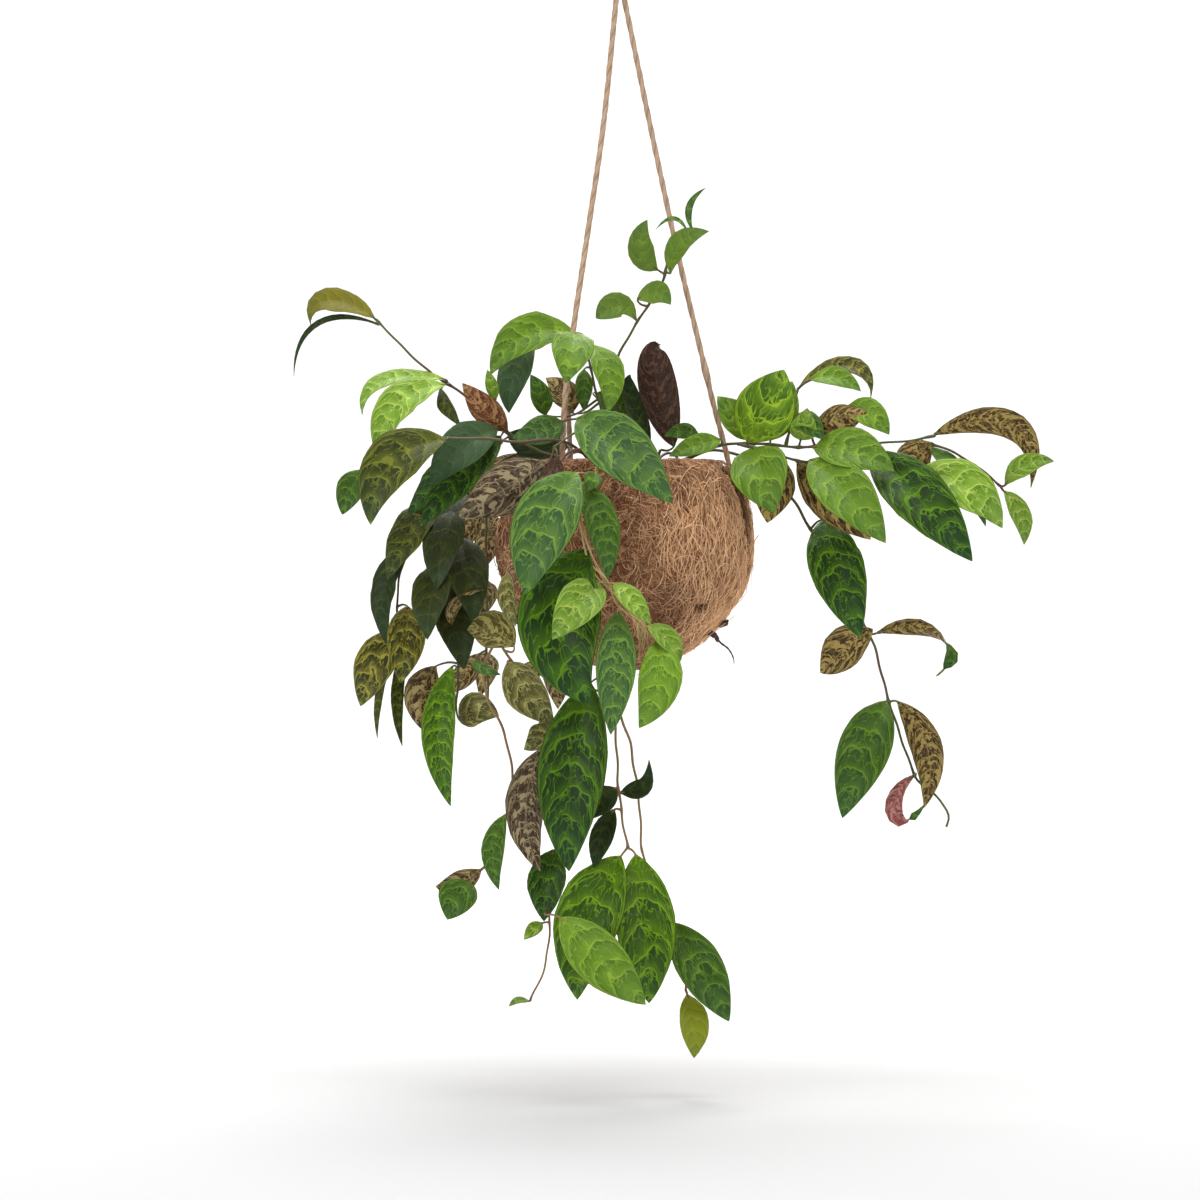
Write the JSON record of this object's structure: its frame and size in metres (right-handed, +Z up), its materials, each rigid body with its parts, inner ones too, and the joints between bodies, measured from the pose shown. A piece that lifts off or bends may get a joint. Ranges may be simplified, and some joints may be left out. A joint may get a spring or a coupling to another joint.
{
  "type": "hanging kokedama plant",
  "caption": "Ball of matted coconut fibre filled with soil, hung by twine, with trailing marbled basket vines growing out of its mouth.",
  "frame": {"origin": "inside top of the hanging loop, where it rests on its hook", "axes": "+Z up, -Y towards the viewer of the plant's front, +X to that viewer's right"},
  "size_m": [0.4521, 0.2494, 0.6686],
  "materials": {
    "coir": "matted coarse fibre",
    "soil": "crumbly, matt",
    "twine": "twisted two-ply jute",
    "leaf": "smooth, half gloss, marbled light green on dark green"
  },
  "bodies": {
    "root": {"coir_shell": "coir", "soil_core": "soil", "twine_leg_left_front": "twine", "twine_leg_left_back": "twine", "twine_leg_right": "twine", "twine_knot": "twine", "twine_loop": "twine", "vine_left_high": "leaf", "vine_left_outer": "leaf", "vine_left_curtain": "leaf", "vine_left_inner": "leaf", "vine_mouth": "leaf", "vine_front": "leaf", "vine_front_long": "leaf", "vine_top": "leaf", "vine_tall": "leaf", "vine_upright": "leaf", "vine_right_out": "leaf", "vine_right_low": "leaf", "vine_back_left": "leaf", "vine_back_mid_left": "leaf", "vine_back_mid_right": "leaf", "vine_back_right": "leaf"}
  },
  "joints": []
}
